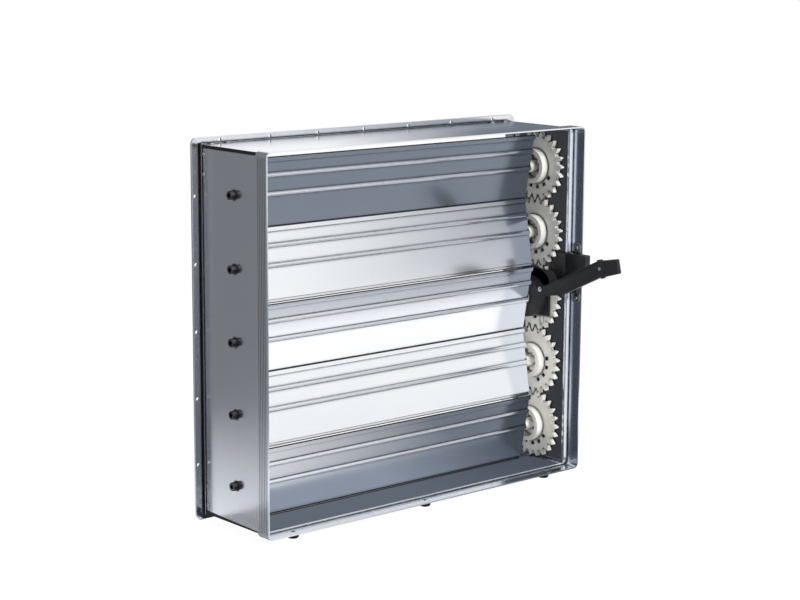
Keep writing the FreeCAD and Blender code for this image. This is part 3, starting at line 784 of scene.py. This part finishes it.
@dataclass
class Frame(Assembly):
    """The four extruded profiles, their cleats and the strips along their joints."""

    edge_rounding: float = 0.35
    strip_rounding: float = 0.2
    foot_width: float = 0.9
    foot_reach: float = 6.0
    foot_from: float = -8.5
    tolerance: float = 0.1

    def thin_foot(self, at: Vector) -> Vector:
        """Leave only a thin line of a strip showing along the bottom joint.

        Args:
            at: A corner's place in millimetres.

        Returns:
            Its new place.
        """
        joint = -HALF_HEIGHT - WALL
        on_wall = abs(at.x) > HALF_WIDTH + WALL - self.tolerance and at.y < self.foot_from
        if on_wall and joint + self.foot_width < at.z < joint + self.foot_reach:
            return Vector((at.x, at.y, joint + self.foot_width))
        return at.copy()

    def build(self) -> None:
        """Make and dress the frame's pieces."""
        finishes = {"left": FRAME_UPRIGHT, "right": FRAME_UPRIGHT, "top": FRAME_LEVEL, "bottom": FRAME_LEVEL}
        for side, finish in finishes.items():
            self.mould(Moulding(side + "_profile", "frame_" + side, finish, self.edge_rounding),
                       Moulding(side + "_strip", "seal_strip_" + side, SEAL_RUBBER, self.strip_rounding,
                                shape=self.thin_foot))
        self.mould(Moulding("angle_cleats", "corner_cleats", CLEAT_METAL, self.edge_rounding))


@dataclass
class Rivets(Assembly):
    """Blind rivets with domed heads that hold the profiles to the cleats."""

    head_radius: float = 3.2
    head_height: float = 1.4
    dome_share: float = 0.92
    mandrel_radius: float = 0.9
    mandrel_depth: float = 0.35
    shank_radius: float = 1.6
    shank_length: float = 4.0
    from_corner: tuple[float, float] = (11.5, 38.5)
    row: float = -12.0

    def model(self) -> Object:
        """Turn one rivet: dome, recessed mandrel and shank.

        Returns:
            The rivet along +Z with its head's seat at zero.
        """
        rivet = turned_blank("rivet", self.head_radius, self.head_height, 24)
        dome = self.dome_share * self.head_height
        bevel_faces(rivet, lambda at, way: way.z > FACING, dome, 4)
        draw_faces(rivet, lambda at, way: way.z > FACING, self.head_radius - dome - self.mandrel_radius,
                   -self.mandrel_depth)
        draw_faces(rivet, lambda at, way: way.z < -FACING, self.head_radius - self.shank_radius, -self.shank_length)
        smooth(rivet)
        return rivet

    def build(self) -> None:
        """Set the rivet in every place: on the side walls, and on the top and bottom."""
        seats = []
        for sx, sz, reach in product((-1, 1), (-1, 1), self.from_corner):
            seats.append(((sx * (HALF_WIDTH + WALL), self.row, sz * (HALF_HEIGHT - reach)), (sx, 0, 0)))
            seats.append(((sx * (HALF_WIDTH - reach), self.row, sz * (HALF_HEIGHT + WALL)), (0, 0, sz)))
        self.dress(spread("rivets", self.model(), seats), BRIGHT_STEEL, "frame_rivets")


@dataclass(frozen=True)
class SlottedScrew:
    """A pan-head screw with a rounded crown and a milled slot."""

    head_radius: float
    head_height: float
    shank_radius: float
    shank_length: float
    slot_width: float = 0.9
    slot_reach: float = 2.4
    crown: float = 1.0

    def model(self, name: str) -> Object:
        """Turn the head, draw out the shank and mill the slot.

        Args:
            name: The screw's name.

        Returns:
            The screw along +Z with its head's seat at zero.
        """
        screw = turned_blank(name, self.head_radius, self.head_height, 32)
        bevel_faces(screw, lambda at, way: way.z > FACING, self.crown, 4)
        draw_faces(screw, lambda at, way: way.z < -FACING, self.head_radius - self.shank_radius, -self.shank_length)
        size = (self.slot_reach * self.head_radius, self.slot_width, self.head_height)
        cut(screw, block("slot_cutter", size, (0.0, 0.0, self.head_height)))
        smooth(screw, 30.0)
        return screw


@dataclass
class FrameHardware(Assembly):
    """Bushes, feet, the console and its screws."""

    screw: SlottedScrew = SlottedScrew(4.0, 2.2, 2.0, 3.6)
    screw_seat: tuple[float, float] = (291.9, -153.0)
    screw_heights: tuple[float, ...] = (2.8, 77.7)
    screw_turns: tuple[float, ...] = (25.0, 85.0)

    def build(self) -> None:
        """Make and dress the small parts fixed to the frame."""
        for side in ("left", "right"):
            self.mould(Moulding(side + "_pivot_bushes", side + "_bushes", BUSH_PLASTIC, 0.25))
        self.mould(Moulding("stand_feet", "lip_feet", BLACK_PLASTIC, 0.4, 3),
                   Moulding("console_backing", "console_strip", BRIGHT_STEEL, 0.3),
                   Moulding("console_moulding", "lever_console", BLACK_PLASTIC, 0.7, 3))
        seats = [((*self.screw_seat, height), LEFTWARD, turn)
                 for height, turn in zip(self.screw_heights, self.screw_turns)]
        screws = spread("console_fixings", self.screw.model("console_screw"), seats)
        self.dress(screws, BRIGHT_STEEL, "console_screws")


@dataclass(frozen=True)
class SocketScrew:
    """The socket-head screw with its washer on the outside of the left wall."""

    washer_radius: float = 6.6
    washer_height: float = 1.0
    washer_edge: float = 0.2
    head_radius: float = 6.0
    head_height: float = 6.5
    head_edge: float = 0.55
    socket: float = 6.0
    socket_depth: float = 3.5
    shank_radius: float = 2.5
    shank_length: float = 14.0
    knurls: int = 36
    knurl_margin: float = 0.05
    knurl_depth: float = 0.12

    def model(self) -> Object:
        """Turn washer, knurled head and shank, and broach the hexagonal socket.

        Returns:
            The screw along +Z with its washer's seat at zero.
        """
        head = turned_blank("socket_head", self.head_radius, self.head_height, self.knurls * 2)
        bevel_faces(head, lambda at, way: way.z > FACING, self.head_edge, 3)
        # Every second side of the head becomes a groove
        pick(head, lambda at, way: abs(way.z) < 1.0 - FACING and round(
            math.degrees(math.atan2(at.y, at.x)) * self.knurls / 180.0 - 0.5) % 2 == 0)
        bpy.ops.mesh.inset(thickness=self.knurl_margin * MM, depth=-self.knurl_depth * MM, use_individual=True)
        done()
        cut(head, turned_blank("socket", self.socket / math.sqrt(3), 2 * self.socket_depth, 6, self.head_height))
        head.data.transform(Matrix.Translation((0, 0, self.washer_height * MM)))
        washer = turned_blank("washer", self.washer_radius, self.washer_height, 40)
        bevel_faces(washer, lambda at, way: abs(way.z) > FACING, self.washer_edge, 2)
        draw_faces(washer, lambda at, way: way.z < -FACING,
                   self.washer_radius - self.washer_edge - self.shank_radius, -self.shank_length)
        screw = joined("shaft_screw", [washer, head])
        smooth(screw, 30.0)
        return screw


@dataclass
class ToothTaper:
    """Draws a gear's teeth in towards their tips, so that they end narrow."""

    node: str
    shaft_height: float
    teeth: int = 23
    from_radius: float = 46.0
    tip_band: float = 0.2
    narrowing: float = 0.62
    tip_radius: float = field(init=False)
    phase: float = field(init=False)

    def __post_init__(self) -> None:
        """Find the tips' radius and where the teeth stand, from the CAD gear's corners."""
        corners = [self.polar(corner.co / MM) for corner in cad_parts[self.node].data.vertices]
        self.tip_radius = max(radius for radius, _ in corners)
        tips = sum(cmath.rect(1.0, self.teeth * turn) for radius, turn in corners
                   if radius > self.tip_radius - self.tip_band)
        self.phase = cmath.phase(tips) / self.teeth

    def polar(self, at: Vector) -> tuple[float, float]:
        """Give a point's distance from the shaft and its angle about it.

        Args:
            at: The point in millimetres.

        Returns:
            The distance in millimetres and the angle in radians.
        """
        across, up = at.y - SHAFT_Y, at.z - self.shaft_height
        return math.hypot(across, up), math.atan2(up, across)

    def __call__(self, at: Vector) -> Vector:
        """Move one corner of the gear.

        Args:
            at: The corner's place in millimetres.

        Returns:
            Its new place.
        """
        radius, turn = self.polar(at)
        if radius <= self.from_radius:
            return at.copy()
        share = min(1.0, (radius - self.from_radius) / (self.tip_radius - self.from_radius))
        pitch = 2 * math.pi / self.teeth
        turn -= self.phase
        middle = round(turn / pitch) * pitch
        turn = self.phase + middle + (turn - middle) * (1.0 - self.narrowing * share)
        return Vector((at.x, SHAFT_Y + radius * math.cos(turn), self.shaft_height + radius * math.sin(turn)))


@dataclass
class BladeSet(Assembly):
    """One blade with its seals, gear, journal and end screw."""

    number: int
    screw: SocketScrew = SocketScrew()
    screw_seat: float = -288.8
    screw_turns: tuple[float, ...] = (12.0, 41.0, 3.0, 27.0, 52.0)
    blade_rounding: float = 0.2
    gear_rounding: float = 0.35
    pockets: int = 4
    pocket_angles: tuple[float, ...] = (211.0, 212.0, 211.0, 168.0, 211.0)
    pocket_step: float = 26.0
    pocket_radius: float = 31.5
    pocket_size: Triple = (9.0, 6.0, 6.0)
    pocket_centre: float = 278.5
    pocket_slant: tuple[float, float] = (7.0, -2.2)
    wiper_from: float = -254.0
    wiper_drop: float = 1.2

    @property
    def body(self) -> str:
        """The set's own body."""
        return "blade_%d_set" % self.number

    @property
    def height(self) -> float:
        """The shaft's height in millimetres."""
        return SHAFT_HEIGHTS[self.number - 1]

    def open_pockets(self, gear: Object) -> None:
        """Cut the gear's square pockets on a slant towards its back.

        Args:
            gear: The gear.
        """
        for place in range(self.pockets):
            turn = math.radians(self.pocket_angles[self.number - 1] + place * self.pocket_step)
            centre = (self.pocket_centre, SHAFT_Y + self.pocket_radius * math.cos(turn),
                      self.height + self.pocket_radius * math.sin(turn))
            cutter = block("pocket_cutter", self.pocket_size, centre, turn)
            pick(cutter, lambda at, way: way.x > FACING)
            bpy.ops.transform.translate(value=(0.0, self.pocket_slant[0] * MM, self.pocket_slant[1] * MM))
            done()
            cut(gear, cutter)
        smooth(gear)
        flattened(gear)

    def lowered_wiper(self, at: Vector) -> Vector:
        """Let the lowest blade's lower lip reach down to the frame.

        Args:
            at: A corner's place in millimetres.

        Returns:
            Its new place.
        """
        return Vector((at.x, at.y, at.z - self.wiper_drop)) if at.z < self.wiper_from else at.copy()

    def build(self) -> None:
        """Make and dress the set's pieces."""
        name = "blade_%d" % self.number
        self.mould(Moulding(name + "_extrusion", name, BLADE_METAL, self.blade_rounding),
                   Moulding(name + "_lips", name + "_seals", SEAL_RUBBER, 0.3, shape=self.lowered_wiper))
        taper = ToothTaper(name + "_gear", self.height)
        gear = Moulding(name + "_wheel", name + "_gear", GEAR_PLASTIC, self.gear_rounding, shape=taper).model()
        self.open_pockets(gear)
        self.dress(gear, GEAR_PLASTIC, name + "_gear")
        self.mould(Moulding(name + "_plug", name + "_journal", BUSH_PLASTIC, 0.25))
        screw = self.screw.model()
        lay(screw, (self.screw_seat, SHAFT_Y, self.height), LEFTWARD, self.screw_turns[self.number - 1])
        screw.name = screw.data.name = name + "_end_screw"
        self.dress(screw, DARK_STEEL, name + "_shaft_screw")


@dataclass
class Lever(Assembly):
    """The lever on the middle gear with its guard, grip, pin and screws."""

    screw: SlottedScrew = SlottedScrew(3.8, 2.2, 2.0, 23.0)
    screw_seat: float = 257.0
    screw_reach: float = 36.0
    screw_angles: tuple[float, ...] = (27.0, 207.0)
    gear_face: float = 275.0
    frame_size: Triple = (15.0, 9.5, 2.0)
    frame_border: float = 1.5
    frame_hollow: float = 0.7
    frame_place: tuple[float, float] = (17.5, 33.0)
    frame_tilt: float = 98.0
    guard_radius: float = 60.0
    guard_bore: float = 31.5
    guard_depth: tuple[float, float] = (272.0, 274.9)
    guard_top: float = 44.5
    guard_angles: tuple[float, float] = (22.0, 118.0)

    body = "blade_3_set"

    def guard(self) -> Object:
        """Cut the guard in front of the gear's upper teeth from a round sheet.

        Returns:
            The guard, from the arm up and back over the gear's top.
        """
        low, high = self.guard_depth
        arm, end = map(math.radians, self.guard_angles)
        # Three straight cuts: the height each passes, and the way to what goes (X ahead, Y up)
        cuts = ((self.guard_top, (0.0, 1.0, 0.0)), (0.0, (math.sin(arm), -math.cos(arm), 0.0)),
                (0.0, (-math.sin(end), math.cos(end), 0.0)))
        sheet = turned_blank("tooth_guard", self.guard_radius, high - low, 96)
        hold(sheet)
        bpy.ops.object.mode_set(mode="EDIT")
        for height, out in cuts:
            bpy.ops.mesh.select_all(action="SELECT")
            bpy.ops.mesh.bisect(plane_co=Vector((0.0, height, 0.0)) * MM, plane_no=out, use_fill=True,
                                clear_outer=True)
        done()
        cut(sheet, turned_blank("bore", self.guard_bore, 3 * (high - low), 64, (high - low) / 2))
        # This turn is also a reflection, so the faces are flipped back
        turn = Matrix(((0, 0, 1, 0), (-1, 0, 0, 0), (0, 1, 0, 0), (0, 0, 0, 1)))
        sheet.data.transform(Matrix.Translation((low * MM, SHAFT_Y * MM, MIDDLE_SHAFT * MM)) @ turn)
        sheet.data.flip_normals()
        rounded(sheet, 0.5)
        return sheet

    def index_frame(self) -> Object:
        """Raise a small upright frame on the gear's face, below the plate.

        Returns:
            The frame.
        """
        obj = block("index_frame", self.frame_size)
        draw_faces(obj, lambda at, way: way.z > FACING, self.frame_border, -self.frame_hollow * self.frame_size[2])
        rounded(obj, 0.3)
        ahead, below = self.frame_place
        lay(obj, (self.gear_face, SHAFT_Y - ahead, MIDDLE_SHAFT - below), LEFTWARD, self.frame_tilt)
        return obj

    def build(self) -> None:
        """Make and dress the lever's pieces."""
        arm = Moulding("lever_moulding", "lever_arm", BLACK_PLASTIC, 0.8, 3).model()
        self.dress(joined("lever_moulding", [arm, self.guard()]), BLACK_PLASTIC, "lever_arm")
        self.mould(Moulding("grip_moulding", "lever_grip", BLACK_PLASTIC, 0.5))
        self.dress(self.index_frame(), GEAR_PLASTIC)
        self.mould(Moulding("grip_cross_pin", "grip_pin", BRIGHT_STEEL, 0.3))
        seats = []
        for angle in self.screw_angles:
            turn = math.radians(angle)
            seats.append(((self.screw_seat, SHAFT_Y - self.screw_reach * math.cos(turn),
                           MIDDLE_SHAFT + self.screw_reach * math.sin(turn)), LEFTWARD, angle))
        screws = spread("lever_fixings", self.screw.model("lever_screw"), seats)
        self.dress(screws, BRIGHT_STEEL, "lever_screws")


# ---- Studio


FAINTLY_COOL = (-0.04, -0.02, 0.0)


@dataclass(frozen=True)
class Card:
    """A flat reflector or flag that only mirrored rays can see, graded across its width. Lengths are in metres.

    Its levels are those of the first mirroring, and the later ones those of all that follow. Cool says how much
    a dark grey's red, green and blue gain.
    """

    name: str
    centre: Triple
    width: float
    height: float
    near: float
    far: float
    graded: tuple[float, float] = (0.0, 1.0)
    later: tuple[float, float] | None = None
    facing: Triple = UP
    cool: Triple = (-0.27, -0.12, 0.11)

    def build(self) -> None:
        """Stand the card up in the studio."""
        clear()
        bpy.ops.mesh.primitive_plane_add(size=1.0)
        card = bpy.context.active_object
        card.name = card.data.name = self.name
        way = Vector(self.facing).normalized()
        up = Vector((0, 1, 0)) if abs(way.z) > FACING else Vector(UP)
        right = up.cross(way).normalized()
        up = way.cross(right)
        turn = Matrix((right, up, way)).transposed().to_4x4()
        card.matrix_world = Matrix.Translation(self.centre) @ turn
        card.scale = (self.width, self.height, 1.0)
        for kind in ("camera", "diffuse", "shadow", "transmission"):
            setattr(card, "visible_" + kind, False)
        card.data.materials.append(self.paint())

    def paint(self) -> Material:
        """Make the card's glow, from its near level at the left to its far one.

        Returns:
            The material.
        """
        paint = bpy.data.materials.new(self.name)
        tree = emptied(paint)
        place = add_node(tree, "SeparateXYZ", {0: add_node(tree, "TexCoord").outputs["Object"]})
        start, end = self.graded
        share = remap(tree, place.outputs[0], start - 0.5, end - 0.5)
        colour = tint(tree, share, self.grey(self.near), self.grey(self.far))
        if self.later is not None:
            after = remap(tree, add_node(tree, "LightPath").outputs["Glossy Depth"], 1.0, 2.0)
            near, far = self.later
            colour = tint(tree, after, colour, tint(tree, share, self.grey(near), self.grey(far)))
        back = add_node(tree, "NewGeometry").outputs["Backfacing"]
        show_either(tree, back, add_node(tree, "Emission", {"Color": colour}), add_node(tree, "BsdfTransparent"))
        return paint

    def grey(self, level: float) -> Triple:
        """Give a grey that is cool where it is dark and plain at full white.

        Args:
            level: The grey's level.

        Returns:
            The colour.
        """
        depth = min(1.0, max(0.0, 1.0 - level))
        red, green, blue = (level * (1.0 + share * depth) for share in self.cool)
        return red, green, blue


CARDS = (
    # Round the damper: what the left side and the flanges mirror
    Card("rear_left_card", (-0.76, 0.36, 0.50), 1.9, 1.54, 0.22, 0.22, facing=(0.65, -0.75, 0.0), cool=FAINTLY_COOL),
    Card("flange_card", (-0.87, -0.68, 0.03), 0.5, 0.60, 0.12, 0.12, facing=(0.65, 0.76, 0.0), cool=FAINTLY_COOL),
    Card("flange_floor_card", (-0.60, -0.34, -0.2665), 0.62, 0.66, 0.15, 0.15, cool=FAINTLY_COOL),
    Card("left_floor_card", (-0.50, 0.17, -0.2665), 0.42, 0.70, 0.20, 0.95, cool=FAINTLY_COOL),
    # On the floor in front and at the right: what the blades mirror
    Card("floor_card", (1.0, -1.42, -0.262), 3.6, 1.60, 0.27, 0.22),
    Card("floor_strip", (0.35, -0.25, -0.2645), 1.5, 0.17, 1.0, 0.20, (0.04, 0.40), (0.06, 0.06)),
    Card("floor_band", (0.42, -0.5675, -0.2635), 1.0, 0.105, 0.55, 0.25, (0.10, 0.75)),
    Card("front_right_card", (2.25, -2.25, 1.25), 2.6, 1.9, 0.20, 1.0, (0.45, 0.74), facing=(-0.70, 0.71, 0.0)),
    Card("rear_right_card", (2.05, 2.25, 1.05), 2.6, 2.3, 1.0, 0.20, (0.40, 0.58), facing=(-0.66, -0.75, 0.0)),
    # Inside the frame and under it, seen only by mirrored rays: flags by the gears paint shade, a glowing card
    # paints a bright reflection on the right step, and cards over the bottom and its underside paint shade and the
    # contact shadow
    Card("gear_side_flag", (0.2845, -0.082, 0.0), 0.104, 0.506, 0.05, 0.05, facing=(1.0, 0.0, 0.0),
         cool=FAINTLY_COOL),
    Card("gear_front_flag", (0.274, -0.1375, 0.0), 0.022, 0.500, 0.04, 0.08, facing=(0.0, -1.0, 0.0)),
    Card("step_card", (0.2930, -0.1510, 0.0), 0.021, 0.500, 0.95, 0.95, facing=LEFTWARD),
    Card("sill_card", (0.0, -0.1035, -0.2550), 0.560, 0.067, 0.10, 0.17, (0.0, 0.5), (0.10, 0.37),
         facing=(0.0, 0.0, -1.0)),
    Card("under_card", (0.0, -0.085, -0.2672), 0.600, 0.170, 0.03, 0.03),
)

# The flags between the blades' ends and the gears, one for each blade, from edge to edge down: glowing at their
# levels, they paint light and shade into what mirrored rays see there
END_LEVELS = (0.10, 0.34, 0.80, 0.80, 0.08)
END_EDGES = (0.247, 0.117, -0.008, -0.080, -0.148, -0.253)
END_FLAGS = tuple(
    Card("end_flag_%d" % number, (0.2562, -0.1065, (top + foot) / 2), 0.053, top - foot, level, level,
         facing=LEFTWARD)
    for number, (top, foot, level) in enumerate(zip(END_EDGES, END_EDGES[1:], END_LEVELS), 1))


@dataclass(frozen=True)
class Lamp:
    """A soft square lamp that lights matt surfaces only. Places and sizes are in metres."""

    name: str
    place: Triple
    size: float
    watts: float
    target: Triple = (0.0, 0.0, 0.0)
    spread: float = 180.0

    def build(self) -> None:
        """Hang the lamp so that it points at its target."""
        data = bpy.data.lights.new(self.name, "AREA")
        data.shape = "SQUARE"
        data.size = self.size
        data.energy = self.watts
        data.spread = math.radians(self.spread)
        lamp = bpy.data.objects.new(self.name, data)
        bpy.context.scene.collection.objects.link(lamp)
        lamp.location = self.place
        lamp.rotation_euler = (Vector(self.target) - Vector(self.place)).to_track_quat("-Z", "Y").to_euler()
        lamp.visible_glossy = False


@dataclass
class Studio:
    """The pale floor, the world, soft lamps, reflection cards and the camera."""

    floor_size: float = 14.0
    floor_gap: float = 0.0005
    floor_matt: float = 0.30
    floor_glow: float = 0.95
    floor_mirrored: float = 0.75
    room_level: float = 0.18
    room_colour: Triple = (0.97, 0.985, 1.0)
    eye: Triple = (-1.8058, -2.1795, 0.5327)
    heading: float = -0.71159
    pitch: float = -0.18239
    roll: float = -0.006256
    lens: float = 88.02
    sensor: float = 36.0
    clip: tuple[float, float] = (0.05, 60.0)
    lamps: tuple[Lamp, ...] = (
        Lamp("front_lamp", (0.5, -2.5, 1.3), 1.2, 75.0),
        Lamp("low_lamp", (-1.0, -1.2, 0.0), 0.25, 0.10, (0.275, -0.10, -0.115), 9.0),
    )

    def floor(self) -> None:
        """Lay the floor: white to the camera, with a faint shadow, and pale grey as a light."""
        clear()
        height = STAND_HEIGHT * MM - self.floor_gap
        bpy.ops.mesh.primitive_plane_add(size=self.floor_size, location=(0, 0, height))
        floor = settle("studio_floor")
        paint = bpy.data.materials.new("studio_floor")
        tree = emptied(paint)
        matt = add_node(tree, "BsdfDiffuse", {"Color": [self.floor_matt] * 3})
        glow = add_node(tree, "Emission", {"Color": [self.floor_glow] * 3})
        white = add_node(tree, "AddShader", {0: matt.outputs[0], 1: glow.outputs[0]})
        plain = add_node(tree, "BsdfDiffuse", {"Color": [self.floor_mirrored] * 3})
        show_either(tree, self.seen(tree), plain, white)
        floor.data.materials.append(paint)

    def seen(self, tree: NodeTree) -> NodeSocket:
        """Give 1 for rays from the camera, from a mirror or through glass.

        Args:
            tree: The tree that gets the nodes.

        Returns:
            The mask.
        """
        path = add_node(tree, "LightPath").outputs
        mirrored = arithmetic(tree, "MAXIMUM", path["Is Glossy Ray"], path["Is Transmission Ray"])
        return arithmetic(tree, "MAXIMUM", path["Is Camera Ray"], mirrored)

    def world(self) -> None:
        """Paint the world white where it is seen and plain grey where it lights."""
        world = bpy.data.worlds.new("studio")
        bpy.context.scene.world = world
        tree = emptied(world)
        light = add_node(tree, "Background", {"Color": self.room_colour, "Strength": self.room_level})
        white = add_node(tree, "Background", {"Color": (1.0, 1.0, 1.0)})
        show_either(tree, self.seen(tree), light, white, "OutputWorld")

    def camera(self) -> None:
        """Stand the camera at the photograph's angle."""
        data = bpy.data.cameras.new("camera")
        data.lens = self.lens
        data.sensor_width = self.sensor
        data.clip_start, data.clip_end = self.clip
        camera = bpy.data.objects.new("camera", data)
        bpy.context.scene.collection.objects.link(camera)
        turn = (Matrix.Rotation(self.heading, 4, "Z") @ Matrix.Rotation(self.pitch, 4, "X")
                @ Matrix.Rotation(self.roll, 4, "Y") @ Matrix.Rotation(math.pi / 2, 4, "X"))
        camera.matrix_world = Matrix.Translation(self.eye) @ turn
        bpy.context.scene.camera = camera

    def build(self) -> None:
        """Set up the whole studio."""
        bpy.context.scene.view_settings.view_transform = "Standard"
        self.camera()
        self.world()
        self.floor()
        for item in (*CARDS, *END_FLAGS, *self.lamps):
            item.build()


def main() -> None:
    """Build the damper's looks piece by piece, then the studio."""
    logging.basicConfig(level=logging.INFO, format="%(name)s: %(message)s")
    Frame().build()
    Rivets().build()
    FrameHardware().build()
    for number in range(1, len(SHAFT_HEIGHTS) + 1):
        BladeSet(number).build()
    Lever().build()
    Studio().build()
    clear()


if __name__ == "__main__":
    main()
